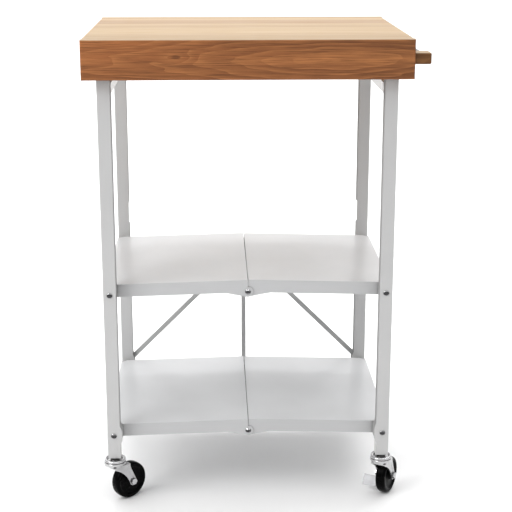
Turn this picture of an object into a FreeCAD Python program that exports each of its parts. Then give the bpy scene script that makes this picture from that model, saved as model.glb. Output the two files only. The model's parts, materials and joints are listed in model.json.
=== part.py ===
import FreeCAD, Part
import math
import os
import re

import Sketcher
from FreeCAD import Placement, Rotation, Vector

# Folding kitchen trolley with a butcher block top: a wooden top that lifts off, two side
# frames of open steel channel, two sheet steel shelves hinged at their middle, a sliding
# brace linkage at the back and four swivel casters.
# Millimetres, +Z up, front at -Y, floor at z = 0, origin below the middle of the whole object.

doc = FreeCAD.newDocument("folding_trolley")

# ---------------------------------------------------------------- driving dimensions
DIMENSIONS = [
    # wooden top
    ("top_width", 610.0), ("top_depth", 508.0), ("top_height", 928.0),
    ("panel_thick", 28.0), ("apron_tall", 73.0), ("apron_thick", 20.0), ("edge_round", 2.5),
    ("batten_wide", 34.0), ("batten_thick", 16.0), ("batten_long", 372.0), ("batten_place", 150.0),
    ("screw_rad", 2.2), ("screw_head_rad", 4.2), ("screw_head", 2.2), ("screw_long", 30.0),
    # towel rail on the right-hand end
    ("post_reach", 30.5), ("post_deep", 40.0), ("post_tall", 21.0), ("post_top", 903.0),
    ("post_front", 250.0), ("post_round", 3.0), ("rod_rad", 4.5), ("rod_reach", 21.0),
    ("screw_near", 21.0), ("screw_far", 33.0), ("screw_in_post", 11.0), ("bore_floor", 12.0),
    ("rod_end_gap", 0.2), ("fit_clear", 0.05),
    # side frames
    ("frame_width", 560.0), ("frame_depth", 448.0), ("leg_wide", 25.0), ("sheet_thick", 1.2),
    ("leg_bottom", 98.0), ("leg_top", 897.0), ("plug_lip", 2.5),
    ("ear_reach", 4.0), ("ear_tall", 42.0), ("notch_low", 474.0), ("notch_high", 522.0),
    ("notch_deep", 10.0), ("rail_tall", 20.0), ("rail_top", 841.0), ("rail_wide", 22.0),
    ("rivet_rad", 2.5), ("rivet_head_rad", 4.6), ("rivet_head", 1.6), ("plug_deep", 14.0),
    # shelves
    ("upper_pivot", 437.5), ("lower_pivot", 146.0), ("sag", 2.7), ("pivot_to_deck", 14.0),
    ("rail_below", 11.5), ("seam_drop", 24.0), ("deck_over", 11.5), ("shelf_front", 197.0),
    ("shelf_back", 178.0), ("shelf_sheet", 1.0), ("seam_gap", 0.2), ("hem_tall", 11.0),
    ("layer_step", 1.6), ("lobe_rad", 10.5), ("corner_cut", 13.0),
    ("rail_chamfer", 4.0), ("lobe_run", 43.0), ("lobe_finish", 62.0), ("seam_hem_in", 11.0),
    ("seam_hem_tall", 9.0),
    ("hinge_rad", 3.0), ("hinge_clear", 0.05), ("hinge_head_rad", 5.5), ("hinge_head", 2.6),
    ("spacer_rad", 6.5),
    # brace linkage behind the shelves, inside the depth of the rear legs
    ("bar_wide", 9.5), ("bar_front", 203.0), ("bar_deep", 4.0), ("brace_wide", 10.0),
    ("left_brace_front", 208.6), ("right_brace_front", 213.2), ("brace_deep", 3.6),
    ("brace_long", 377.5), ("slider_tall", 24.0), ("slider_wall", 3.0), ("slider_clear", 0.35),
    ("slider_round", 1.2), ("knuckle_rad", 4.5), ("knuckle_tip_rad", 2.8), ("knuckle_tall", 1.8),
    # casters
    ("wheel_rad", 37.5), ("wheel_wide", 20.0), ("wheel_trail", 33.0), ("stem_rad", 5.0),
    ("race_rad", 22.0), ("race_low", 88.5), ("stem_top", 125.0), ("socket_tall", 30.0),
    ("fork_gap", 26.0), ("fork_sheet", 2.5), ("axle_rad", 4.0), ("axle_clear", 0.06),
    ("hub_gap", 0.4), ("lever_gap", 0.5), ("lever_sheet", 2.0),
    ("pedal_reach", 29.0), ("pedal_drop", 16.0), ("pedal_tall", 22.0), ("pedal_lean", 65.0),
    ("lever_eye_rad", 11.0),
    ("hub_rad", 9.0), ("dish_low_rad", 11.0), ("dish_high_rad", 27.0), ("rim_rad", 30.0),
    ("dish_deep", 2.5), ("crown_tall", 5.5), ("neck_tall", 4.5), ("bridge_drop", 12.0),
    ("bridge_thick", 3.0), ("fork_eye_rad", 8.5), ("fork_round", 1.6), ("nut_tall", 4.0),
    ("nut_corner_rad", 6.8), ("dish_floor", 2.4), ("boss_rad", 9.0), ("arm_hollow", 5.0),
]
sheet = doc.addObject("Spreadsheet::Sheet", "Sizes")
for row, (alias, number) in enumerate(DIMENSIONS, start=1):
    sheet.set(f"A{row}", alias.replace("_", " "))
    sheet.set(f"B{row}", str(number))
    sheet.setAlias(f"B{row}", alias)
doc.recompute()

ALIASES = {alias for alias, number in DIMENSIONS}


def size(alias):
    """A driving dimension, read from the sheet."""
    return float(sheet.get(alias))


def formula(text):
    """The text with each alias pointing at the sheet."""
    return re.sub(r"[a-z][a-z_]*", lambda m: "Sizes." + m[0] if m[0] in ALIASES else m[0], str(text))


def bind(item, prop, text):
    item.setExpression(prop, formula(text))


known_values = {}


def value(text):
    """The number a formula gives, worked out in a spare cell of the sheet."""
    if text not in known_values:
        sheet.set("D1", f"={text}")
        sheet.recompute()
        known_values[text] = float(sheet.get("D1"))
    return known_values[text]


# Places that follow from the dimensions.
HALF_PITCH = "(frame_width / 2 - leg_wide / 2)"      # leg pivot to the middle of the trolley
BACK_LEG = "(frame_depth / 2 - leg_wide)"            # front face of a rear leg
TOP_UNDER = "(top_height - panel_thick)"
TOP_BOTTOM = "(top_height - apron_tall)"
half_pitch = size("frame_width") / 2 - size("leg_wide") / 2

nodes = {}


def keep(name, item, angle=0.0, x="0", y="0", z="0"):
    """Names a finished sub-part and places it: turned about its own origin, then moved."""
    item.Label = name
    item.Placement = Placement(Vector(), Rotation(Vector(0, 0, 1), angle))
    bind(item, "Placement.Base.x", f"{x} - post_reach / 2")
    bind(item, "Placement.Base.y", y)
    bind(item, "Placement.Base.z", z)
    nodes[name] = item
    return item


# ---------------------------------------------------------------- primitives and booleans
def box(x, y, z, length, width, height):
    """A block from its low corner and its three sides, all as formulas."""
    item = doc.addObject("Part::Box", "block")
    for prop, text in (("Length", length), ("Width", width), ("Height", height)):
        bind(item, prop, text)
    for axis, text in (("x", x), ("y", y), ("z", z)):
        bind(item, "Placement.Base." + axis, text)
    return item


TURNS = {"x": Rotation(Vector(0, 1, 0), 90), "y": Rotation(Vector(1, 0, 0), -90), "z": Rotation()}


def rod(along, x, y, z, radius, length):
    """A cylinder that starts at a point and runs along +X, +Y or +Z."""
    item = doc.addObject("Part::Cylinder", "round")
    item.Placement = Placement(Vector(), TURNS[along])
    bind(item, "Radius", radius)
    bind(item, "Height", length)
    for axis, text in (("x", x), ("y", y), ("z", z)):
        bind(item, "Placement.Base." + axis, text)
    return item


def dome(along, x, y, z, radius, length, sign=1):
    """A low domed head: a cone that narrows along the axis."""
    item = doc.addObject("Part::Cone", "head")
    turn = TURNS[along] if sign > 0 else TURNS[along] * Rotation(Vector(1, 0, 0), 180)
    item.Placement = Placement(Vector(), turn)
    bind(item, "Radius1", radius)
    bind(item, "Radius2", f"{radius} * 0.55")
    bind(item, "Height", length)
    for axis, text in (("x", x), ("y", y), ("z", z)):
        bind(item, "Placement.Base." + axis, text)
    return item


def fuse(*items):
    item = doc.addObject("Part::MultiFuse", "joined")
    item.Shapes = list(items)
    item.Refine = True
    return item


def group(*items):
    """Separate identical solids in one sub-part."""
    item = doc.addObject("Part::Compound", "set_of")
    item.Links = list(items)
    return item


def cut(base, *tools):
    item = doc.addObject("Part::Cut", "cut")
    item.Base = base
    item.Tool = tools[0] if len(tools) == 1 else fuse(*tools)
    return item


def feature(name, shape, *place):
    """A sub-part from a finished solid, with the solid's own move kept inside its geometry."""
    matrix = shape.Placement.toMatrix()
    plain = shape.copy()
    plain.Placement = Placement()
    item = doc.addObject("Part::Feature", name + "_solid")
    item.Shape = plain.transformed(matrix, copy=True)
    return keep(name, item, *place)


# ---------------------------------------------------------------- PartDesign helpers
def new_body(name):
    return doc.addObject("PartDesign::Body", name + "_body")


def origin_plane(body, role):
    return next(item for item in body.Origin.OriginFeatures if item.Role == role)


def outline(body, role, points, offset="0"):
    """A closed sketch through points given as pairs of formulas, each one constrained."""
    sketch = body.newObject("Sketcher::SketchObject", "outline")
    sketch.AttachmentSupport = (origin_plane(body, role), [""])
    sketch.MapMode = "FlatFace"
    bind(sketch, "AttachmentOffset.Base.z", offset)
    spots = []
    for pair in points:
        spots.append(Vector(value(pair[0]), value(pair[1]), 0))
    count = len(spots)
    for index in range(count):
        sketch.addGeometry(Part.LineSegment(spots[index], spots[(index + 1) % count]), False)
    for index in range(count):
        sketch.addConstraint(Sketcher.Constraint("Coincident", index, 2, (index + 1) % count, 1))
    for index, pair in enumerate(points):
        ways = (("DistanceX", pair[0], spots[index].x), ("DistanceY", pair[1], spots[index].y))
        for kind, text, place in ways:
            number = sketch.addConstraint(Sketcher.Constraint(kind, -1, 1, index, 1, place))
            sketch.setExpression(f"Constraints[{number}]", formula(text))
    return sketch


def ring(body, role, x, y, radius, offset="0"):
    """A circle sketch."""
    sketch = body.newObject("Sketcher::SketchObject", "circle")
    sketch.AttachmentSupport = (origin_plane(body, role), [""])
    sketch.MapMode = "FlatFace"
    bind(sketch, "AttachmentOffset.Base.z", offset)
    place = [value(text) for text in (x, y, radius)]
    sketch.addGeometry(Part.Circle(Vector(place[0], place[1], 0), Vector(0, 0, 1), place[2]), False)
    number = sketch.addConstraint(Sketcher.Constraint("Radius", 0, place[2]))
    sketch.setExpression(f"Constraints[{number}]", formula(radius))
    for kind, text, spot in (("DistanceX", x, place[0]), ("DistanceY", y, place[1])):
        number = sketch.addConstraint(Sketcher.Constraint(kind, -1, 1, 0, 3, spot))
        sketch.setExpression(f"Constraints[{number}]", formula(text))
    return sketch


def pad(body, sketch, length, reverse=False):
    feature = body.newObject("PartDesign::Pad", "pad")
    feature.Profile = sketch
    bind(feature, "Length", length)
    feature.Reversed = reverse
    return feature


def pocket(body, sketch, length, both=False, reverse=False):
    """Cuts a sketch out of the body, to both sides of its plane when asked."""
    base = body.Tip
    doc.recompute()
    before = base.Shape.Volume
    feature = body.newObject("PartDesign::Pocket", "pocket")
    feature.Profile = sketch
    bind(feature, "Length", length)
    feature.Midplane = both
    feature.Reversed = reverse
    doc.recompute()
    if feature.Shape.Volume > before - 0.01:
        raise RuntimeError(f"a pocket in {body.Name} cuts nothing")
    return feature


def revolve(body, sketch):
    """A full turn of a sketch about its vertical axis."""
    feature = body.newObject("PartDesign::Revolution", "revolution")
    feature.Profile = sketch
    feature.ReferenceAxis = (sketch, ["V_Axis"])
    feature.Angle = 360.0
    return feature


def soften(body, radius, wanted):
    """Fillets the edges of the body's tip that the test picks."""
    doc.recompute()
    tip = body.Tip
    names = [f"Edge{n}" for n, edge in enumerate(tip.Shape.Edges, start=1) if wanted(edge)]
    feature = body.newObject("PartDesign::Fillet", "fillet")
    feature.Base = (tip, names)
    bind(feature, "Radius", radius)
    return feature


def runs_along(edge, axis):
    """Whether an edge is a straight one along an axis."""
    if edge.Curve.TypeId != "Part::GeomLine":
        return False
    return abs(getattr(edge.tangentAt(edge.FirstParameter), axis)) > 0.999


# ---------------------------------------------------------------- wooden top
ROD_X = "(top_width / 2 + rod_reach)"
ROD_Z = "(post_top - post_tall / 2)"
# each post's start in Y, and the places in Y of its two screws, which go through the end board
POSTS = (
    ("front_rail_post", "-post_front", "-post_front + bore_floor",
     ("(screw_near - post_front)", "(screw_far - post_front)")),
    ("rear_rail_post", "(post_front - post_deep)", "(post_front - post_deep - 1)",
     ("(post_front - screw_far)", "(post_front - screw_near)")),
)


def apron(name, side):
    """A full-height board along the front (side -1) or the back (side 1)."""
    body = new_body(name)
    outer, inner = f"{side} * top_depth / 2", f"{side} * (top_depth / 2 - apron_thick)"
    corners = [("-top_width / 2", outer), ("top_width / 2", outer),
               ("top_width / 2", inner), ("-top_width / 2", inner)]
    pad(body, outline(body, "XY_Plane", corners, TOP_BOTTOM), "apron_tall")
    face = side * size("top_depth") / 2

    def outside(edge):
        middle = edge.CenterOfMass
        return abs(middle.y - face) < 0.01 and (runs_along(edge, "x") or runs_along(edge, "z"))

    soften(body, "edge_round", outside)
    keep(name, body)


def end_board(name, side):
    """A board under the panel at one end, between the front and rear boards."""
    body = new_body(name)
    outer, inner = f"{side} * top_width / 2", f"{side} * (top_width / 2 - apron_thick)"
    back = "(top_depth / 2 - apron_thick)"
    corners = [(inner, "-" + back), (outer, "-" + back), (outer, back), (inner, back)]
    pad(body, outline(body, "XY_Plane", corners, TOP_BOTTOM), "apron_tall - panel_thick")
    face = side * size("top_width") / 2
    low = size("top_height") - size("apron_tall")

    def lower_outside(edge):
        middle = edge.CenterOfMass
        return abs(middle.x - face) < 0.01 and abs(middle.z - low) < 0.01

    soften(body, "edge_round", lower_outside)
    if side < 0:
        keep(name, body)
        return
    # the towel rail's screws pass through the right-hand board
    holes = []
    for *_, screw_places in POSTS:
        for place_y in screw_places:
            holes.append(rod("x", inner + " - 1", place_y, ROD_Z, "screw_rad + fit_clear", "apron_thick + 2"))
    keep(name, cut(body, *holes))


def build_panel():
    body = new_body("top_panel")
    back = "(top_depth / 2 - apron_thick)"
    corners = [("-top_width / 2", "-" + back), ("top_width / 2", "-" + back),
               ("top_width / 2", back), ("-top_width / 2", back)]
    pad(body, outline(body, "XY_Plane", corners, TOP_UNDER), "panel_thick")
    high = size("top_height")

    def upper_end(edge):
        middle = edge.CenterOfMass
        return abs(middle.z - high) < 0.01 and runs_along(edge, "y")

    soften(body, "edge_round", upper_end)
    keep("top_panel", body)


def batten(name, side):
    """A cross batten under the panel, drilled for its screws."""
    middle = f"{side} * batten_place"
    low = f"({TOP_UNDER} - batten_thick)"
    corner = (f"{middle} - batten_wide / 2", "-batten_long / 2", low)
    board = box(*corner, "batten_wide", "batten_long", "batten_thick")
    holes = []
    for row in SCREW_ROWS:
        place = (middle, f"{row} * batten_long", f"{low} - 1")
        holes.append(rod("z", *place, "screw_rad + fit_clear", "batten_thick + 2"))
    keep(name, cut(board, *holes))


SCREW_ROWS = (-0.42, 0.0, 0.42)
apron("front_apron", -1)
apron("rear_apron", 1)
end_board("left_apron", -1)
end_board("right_apron", 1)
batten("left_batten", -1)
batten("right_batten", 1)

# The screws go up through the battens into drilled holes in the panel.
batten_bottom = f"({TOP_UNDER} - batten_thick)"
screws = []
build_panel()
panel = nodes["top_panel"]
for side in (-1, 1):
    for row in SCREW_ROWS:
        place = (f"{side} * batten_place", f"{row} * batten_long")
        hole = ring(panel, "XY_Plane", *place, "screw_rad + fit_clear", TOP_UNDER)
        pocket(panel, hole, "screw_long - batten_thick + 1", reverse=True)
        shank = rod("z", *place, batten_bottom, "screw_rad", "screw_long")
        head = dome("z", *place, batten_bottom, "screw_head_rad", "screw_head", sign=-1)
        screws.append(fuse(shank, head))
keep("batten_screws", group(*screws))


# ---------------------------------------------------------------- towel rail
def rail_post(name, low_y):
    """A wooden post block on the end board, with a blind hole for the rod."""
    body = new_body(name)
    near, far = "top_width / 2", "(top_width / 2 + post_reach)"
    corners = [(near, low_y), (far, low_y), (far, f"{low_y} + post_deep"), (near, f"{low_y} + post_deep")]
    pad(body, outline(body, "XY_Plane", corners, "post_top - post_tall"), "post_tall")
    face = size("top_width") / 2

    def exposed(edge):
        return edge.CenterOfMass.x > face + 0.5

    soften(body, "post_round", exposed)
    return body


post_screws = []
for name, start, hole_y, screw_places in POSTS:
    block = rail_post(name, start)
    holes = [rod("y", ROD_X, hole_y, ROD_Z, "rod_rad + fit_clear", "post_deep - bore_floor + 1")]
    for place_y in screw_places:
        holes.append(rod("x", "top_width / 2 - 1", place_y, ROD_Z, "screw_rad + fit_clear",
                         "screw_in_post + 2"))
        shank = rod("x", "top_width / 2 - apron_thick", place_y, ROD_Z, "screw_rad",
                    "apron_thick + screw_in_post")
        head = dome("x", "top_width / 2 - apron_thick", place_y, ROD_Z, "screw_head_rad", "screw_head",
                    sign=-1)
        post_screws.append(fuse(shank, head))
    keep(name, cut(block, *holes))
rod_start = "(bore_floor + rod_end_gap - post_front)"
keep("towel_rod", group(rod("y", ROD_X, rod_start, ROD_Z, "rod_rad", f"-2 * {rod_start}")))
keep("post_screws", group(*post_screws))


# ---------------------------------------------------------------- side frames
# A leg is a channel whose web is on the outer side. Its flanges face front and back.
PIVOTS = ("upper_pivot", "lower_pivot")


def flange_profile(side, notched):
    """Outline of one flange in X and Z: with an ear at the lower shelf pivot, and a notch or none."""
    outer = f"{side} * frame_width / 2"
    inner = f"{side} * (frame_width / 2 - leg_wide)"
    points = [(outer, "leg_bottom"), (inner, "leg_bottom")]
    for up, reach in ((-0.5, 0), (-0.25, 1), (0.25, 1), (0.5, 0)):
        points.append((f"{inner} - {side} * ear_reach * {reach}", f"lower_pivot + ear_tall * {up}"))
    if notched:
        deep = f"{inner} + {side} * notch_deep"
        points += [(inner, "notch_low"), (deep, "notch_low + 6"),
                   (deep, "notch_high - 6"), (inner, "notch_high")]
    return points + [(inner, "leg_top"), (outer, "leg_top")]


def leg(name, side, end):
    """side is -1 left or 1 right; end is -1 front or 1 rear."""
    body = new_body(name)
    low = "-frame_depth / 2" if end < 0 else BACK_LEG
    outer, inner = f"{side} * frame_width / 2", f"{side} * (frame_width / 2 - leg_wide)"
    web = f"{side} * (frame_width / 2 - sheet_thick)"
    web_corners = [(outer, low), (web, low), (web, f"{low} + leg_wide"), (outer, f"{low} + leg_wide")]
    pad(body, outline(body, "XY_Plane", web_corners, "leg_bottom"), "leg_top - leg_bottom")
    # the sketch plane XZ faces -Y, so its offsets and pads run towards the front
    for front, notched in ((low, False), (f"({low} + leg_wide - sheet_thick)", end > 0)):
        sketch = outline(body, "XZ_Plane", flange_profile(side, notched), f"-1 * ({front} + sheet_thick)")
        pad(body, sketch, "sheet_thick")
    for pivot in PIVOTS:
        middle = f"-1 * ({low} + leg_wide / 2)"
        hole = ring(body, "XZ_Plane", f"{side} * {HALF_PITCH}", pivot, "hinge_rad + hinge_clear", middle)
        pocket(body, hole, "leg_wide + 4", both=True)
    for rail in RAIL_RIVETS:
        face = f"-1 * ({inner_face(end)})"
        spot = ring(body, "XZ_Plane", f"{side} * {HALF_PITCH}", rail, "rivet_rad + hinge_clear", face)
        pocket(body, spot, "6", both=True)
    return keep(name, body)


def inner_face(end):
    """The face of a leg that looks at the other leg of the same side frame."""
    return f"{end} * (frame_depth / 2 - leg_wide)"


RAIL_RIVETS = ("rail_top - rail_tall * 0.3", "rail_top - rail_tall * 0.7")


def top_rail(name, side):
    """A channel from leg to leg, open below, with a tab at each end riveted to the leg."""
    middle = f"{side} * {HALF_PITCH}"
    half = "(frame_depth / 2 - leg_wide)"
    corner = (f"{middle} - rail_wide / 2", f"-{half}", "rail_top - rail_tall")
    outside = box(*corner, "rail_wide", f"2 * {half}", "rail_tall")
    inner_corner = (f"{middle} - rail_wide / 2 + sheet_thick", f"-{half} + sheet_thick",
                    "rail_top - rail_tall - 1")
    inside = box(*inner_corner, "rail_wide - 2 * sheet_thick", f"2 * ({half} - sheet_thick)",
                 "rail_tall + 1 - sheet_thick")
    holes = []
    for end in (-1, 1):
        for height in RAIL_RIVETS:
            holes.append(rod("y", middle, f"{inner_face(end)} - 4", height, "rivet_rad + hinge_clear", "8"))
    keep(name, cut(outside, inside, *holes))
    rivets = []
    for end in (-1, 1):
        for height in RAIL_RIVETS:
            leg_side = f"{inner_face(end)} + {end} * sheet_thick"
            rail_side = f"{inner_face(end)} - {end} * sheet_thick"
            start = rail_side if end > 0 else leg_side
            finish = leg_side if end > 0 else rail_side
            shank = rod("y", middle, start, height, "rivet_rad", "2 * sheet_thick")
            first = dome("y", middle, start, height, "rivet_head_rad", "rivet_head", sign=-1)
            second = dome("y", middle, finish, height, "rivet_head_rad", "rivet_head")
            rivets.append(fuse(shank, first, second))
    keep(name.replace("top_rail", "rail_rivets"), group(*rivets))


def leg_plugs(name, side):
    """Moulded plugs that close the tops of both legs of a side frame and carry the wooden top."""
    plugs = []
    gap = "(sheet_thick + 0.1)"
    for low in ("-frame_depth / 2", BACK_LEG):
        left = f"{side} * {HALF_PITCH} - leg_wide / 2"
        inside_x = f"{left} + {gap if side < 0 else '0'}"
        corner = (inside_x, f"{low} + {gap}", "leg_top - plug_deep")
        core = box(*corner, f"leg_wide - {gap}", f"leg_wide - 2 * {gap}", "plug_deep")
        cap = box(left, low, "leg_top", "leg_wide", "leg_wide", "plug_lip")
        plugs.append(fuse(core, cap))
    keep(name, group(*plugs))


def stem_sockets(name, side):
    """Sockets pressed into the lower ends of the legs, bored for the caster stems."""
    sockets = []
    gap = "(sheet_thick + 0.1)"
    for low in ("-frame_depth / 2", BACK_LEG):
        left = f"{side} * {HALF_PITCH} - leg_wide / 2"
        inside_x = f"{left} + {gap if side < 0 else '0'}"
        corner = (inside_x, f"{low} + {gap}", "leg_bottom")
        core = box(*corner, f"leg_wide - {gap}", f"leg_wide - 2 * {gap}", "socket_tall")
        place = (f"{side} * {HALF_PITCH}", f"{low} + leg_wide / 2", "leg_bottom - 1")
        bore = rod("z", *place, "stem_rad + fit_clear", "socket_tall + 2")
        sockets.append(cut(core, bore))
    keep(name, group(*sockets))


def side_hinge_rod(name, side, pivot):
    """A hinge rod right through both legs and the shelf between them, with domed heads."""
    middle = f"{side} * {HALF_PITCH}"
    front, back = "-frame_depth / 2", "frame_depth / 2"
    pin = rod("y", middle, front, pivot, "hinge_rad", "frame_depth")
    heads = [dome("y", middle, front, pivot, "hinge_head_rad", "hinge_head", sign=-1),
             dome("y", middle, back, pivot, "hinge_head_rad", "hinge_head")]
    keep(name, fuse(pin, *heads))


def hinge_spacers(name, side):
    """Tubes on the hinge rods that fill the gap between the shelf and the rear leg."""
    middle = f"{side} * {HALF_PITCH}"
    tubes = []
    for pivot in PIVOTS:
        start = "shelf_back + 0.4"
        length = f"{BACK_LEG} - shelf_back - 0.5"
        tube = rod("y", middle, start, pivot, "spacer_rad", length)
        bore = rod("y", middle, f"{start} - 1", pivot, "hinge_rad + hinge_clear", f"{length} + 2")
        tubes.append(cut(tube, bore))
    keep(name, group(*tubes))


for word, side in (("left", -1), ("right", 1)):
    leg(f"front_{word}_leg", side, -1)
    leg(f"rear_{word}_leg", side, 1)
    top_rail(f"{word}_top_rail", side)
    leg_plugs(f"{word}_leg_plugs", side)
    stem_sockets(f"{word}_stem_sockets", side)
    side_hinge_rod(f"upper_{word}_hinge_rod", side, "upper_pivot")
    side_hinge_rod(f"lower_{word}_hinge_rod", side, "lower_pivot")
    hinge_spacers(f"{word}_hinge_spacers", side)


# ---------------------------------------------------------------- shelves
# Each half is drawn about its leg pivot at the origin with the deck level, then tilted so that
# the middle pivot sits a little below the two leg pivots, which locks the shelf open.
seam_pivot_drop = size("seam_drop") - size("pivot_to_deck")
pivot_link = math.hypot(half_pitch, size("sag"))      # leg pivot to middle pivot
seam_pivot_x = math.sqrt(pivot_link ** 2 - seam_pivot_drop ** 2)
TILT = math.degrees(math.atan2(seam_pivot_drop, seam_pivot_x) - math.atan2(size("sag"), half_pitch))


def shelf_rail(inner_y):
    """One upright flange of a half shelf in X and Z, with a round lobe about the middle pivot."""
    span = seam_pivot_x
    over, lobe = size("deck_over"), size("lobe_rad")
    deck, drop = size("pivot_to_deck"), seam_pivot_drop
    low = -size("rail_below")
    chamfer = size("rail_chamfer")
    lobe_start = span - size("lobe_run")
    points = [
        Vector(-over, 0, deck), Vector(-over, 0, low + chamfer),
        Vector(-over + chamfer, 0, low), Vector(lobe_start, 0, low),
    ]
    pivot = Vector(span, 0, -drop)
    # the lower edge runs down to the lobe and leaves it at the level of the pivot
    reach = math.hypot(lobe_start - span, low + drop)
    slope = math.atan2(low + drop, lobe_start - span)
    touch = slope + math.acos(lobe / reach)
    tangent = pivot + Vector(math.cos(touch), 0, math.sin(touch)) * lobe
    end_angle = math.radians(size("lobe_finish"))
    finish = pivot + Vector(math.cos(end_angle), 0, math.sin(end_angle)) * lobe
    half_angle = (touch - 2 * math.pi + end_angle) / 2 if touch > math.pi else (touch + end_angle) / 2
    through = pivot + Vector(math.cos(half_angle), 0, math.sin(half_angle)) * lobe
    seam = Vector(span - size("seam_gap"), 0, deck)
    neck = Vector(span - size("seam_gap"), 0, finish.z)
    edges = [Part.LineSegment(points[n], points[n + 1]).toShape() for n in range(len(points) - 1)]
    edges.append(Part.LineSegment(points[-1], tangent).toShape())
    edges.append(Part.Arc(tangent, through, finish).toShape())
    edges.append(Part.LineSegment(finish, neck).toShape())
    edges.append(Part.LineSegment(neck, seam).toShape())
    edges.append(Part.LineSegment(seam, points[0]).toShape())
    plate = Part.Face(Part.Wire(edges)).extrude(Vector(0, size("shelf_sheet"), 0))
    plate.translate(Vector(0, inner_y, 0))
    return plate


def half_shelf(name, side, pivot):
    """A folded sheet tray: deck, two rails with holes for the hinge rods, and turned-down hems."""
    thick, span = size("shelf_sheet"), seam_pivot_x
    # the right half's rails sit just inside the left half's rails at the middle hinge
    inset = 0.0 if side < 0 else size("layer_step")
    front, back = -size("shelf_front") + inset, size("shelf_back") - inset
    over, deck, gap = size("deck_over"), size("pivot_to_deck"), size("seam_gap")
    corner, hem = size("corner_cut"), size("hem_tall")
    corners = [
        Vector(-over, front + corner), Vector(-over + corner, front), Vector(span - gap, front),
        Vector(span - gap, back), Vector(-over + corner, back), Vector(-over, back - corner),
    ]
    deck_face = Part.Face(Part.makePolygon(corners + corners[:1]))
    pieces = [deck_face.extrude(Vector(0, 0, thick))]
    pieces[0].translate(Vector(0, 0, deck - thick))
    for inner_y in (front, back - thick):
        rail = shelf_rail(inner_y)
        # the rail starts where the deck's corner cut ends
        keep_part = Part.makeBox(span * 2, thick, 100.0, Vector(-over + corner, inner_y, -50.0))
        lug = Part.makeBox(corner + 0.5, thick, size("rail_below") + deck - thick - 0.5,
                           Vector(-over, inner_y, -size("rail_below")))
        pieces.append(rail.common(keep_part).fuse(rail.common(lug)))
    outer_hem = Part.makeBox(thick, back - front - 2 * corner, hem, Vector(-over, front + corner, deck - hem))
    inset_y, seam_tall = size("seam_hem_in"), size("seam_hem_tall")
    seam_start = Vector(span - gap - thick, front + inset_y, deck - seam_tall)
    seam_hem = Part.makeBox(thick, back - front - 2 * inset_y, seam_tall, seam_start)
    tray = pieces[0].multiFuse(pieces[1:] + [outer_hem, seam_hem])
    hole = size("hinge_rad") + size("hinge_clear")
    for x, z in ((0.0, 0.0), (seam_pivot_x, -seam_pivot_drop)):
        tray = tray.cut(Part.makeCylinder(hole, 500.0, Vector(x, -250.0, z), Vector(0, 1, 0)))
    tray = tray.removeSplitter()
    tray.rotate(Vector(0, 0, 0), Vector(0, 1, 0), -TILT)
    if side > 0:
        tray = tray.mirror(Vector(0, 0, 0), Vector(1, 0, 0))
    tray.translate(Vector(side * half_pitch, 0, size(pivot)))
    feature(name, tray)


def centre_rod(name, pivot):
    """The hinge rod under a shelf's seam, which also carries one end of the rear bar."""
    height = f"({pivot} - sag)"
    front, back = "-shelf_front - 0.2", "bar_front + bar_deep + 0.3"
    pin = rod("y", "0", front, height, "hinge_rad", f"{back} + shelf_front + 0.2")
    heads = [dome("y", "0", front, height, "hinge_head_rad", "hinge_head", sign=-1),
             rod("y", "0", back, height, "hinge_head_rad - 0.5", "1.2")]
    collar = rod("y", "0", "shelf_back + 0.3", height, "spacer_rad", "bar_front - shelf_back - 0.7")
    keep(name, fuse(pin, collar, *heads))


for level in ("upper", "lower"):
    half_shelf(f"{level}_left_shelf", -1, f"{level}_pivot")
    half_shelf(f"{level}_right_shelf", 1, f"{level}_pivot")
    centre_rod(f"{level}_centre_rod", f"{level}_pivot")


# ---------------------------------------------------------------- rear brace linkage
def strap(length, width, depth, holes, channel=1.0):
    """A shallow channel strap along +X with round ends, its open side towards the back."""
    half = width / 2
    straight = Part.makeBox(length, depth, width, Vector(0, 0, -half))
    ends = [Part.makeCylinder(half, depth, Vector(x, 0, 0), Vector(0, 1, 0)) for x in (0.0, length)]
    body = straight.multiFuse(ends).removeSplitter()
    groove = Part.makeBox(length - width, depth, width - 2 * channel, Vector(half, channel, -half + channel))
    body = body.cut(groove)
    radius = size("hinge_rad") + size("hinge_clear")
    for x in holes:
        body = body.cut(Part.makeCylinder(radius, depth + 2, Vector(x, -1, 0), Vector(0, 1, 0)))
    return body


upper_centre = size("upper_pivot") - size("sag")
lower_centre = size("lower_pivot") - size("sag")
bar_long = upper_centre - lower_centre
bar = strap(bar_long, size("bar_wide"), size("bar_deep"), (0.0, bar_long))
bar.rotate(Vector(), Vector(0, 1, 0), -90)
bar.translate(Vector(0, size("bar_front"), lower_centre))
feature("centre_bar", bar)

rise = math.acos(half_pitch / size("brace_long"))
BRACE_TOP = size("lower_pivot") + size("brace_long") * math.sin(rise)
for word, side in (("left", -1), ("right", 1)):
    brace = strap(size("brace_long"), size("brace_wide"), size("brace_deep"), (0.0,))
    brace.rotate(Vector(), Vector(0, 1, 0), -math.degrees(rise))
    if side > 0:
        brace = brace.mirror(Vector(), Vector(1, 0, 0))
    brace.translate(Vector(side * half_pitch, size(f"{word}_brace_front"), size("lower_pivot")))
    feature(f"{word}_brace", brace)

rivet_y = size("right_brace_front") + size("brace_deep")
rivet = Part.makeCone(size("knuckle_rad"), size("knuckle_tip_rad"), size("knuckle_tall"),
                      Vector(0, rivet_y, BRACE_TOP), Vector(0, 1, 0))
feature("brace_rivet", rivet)

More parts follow.
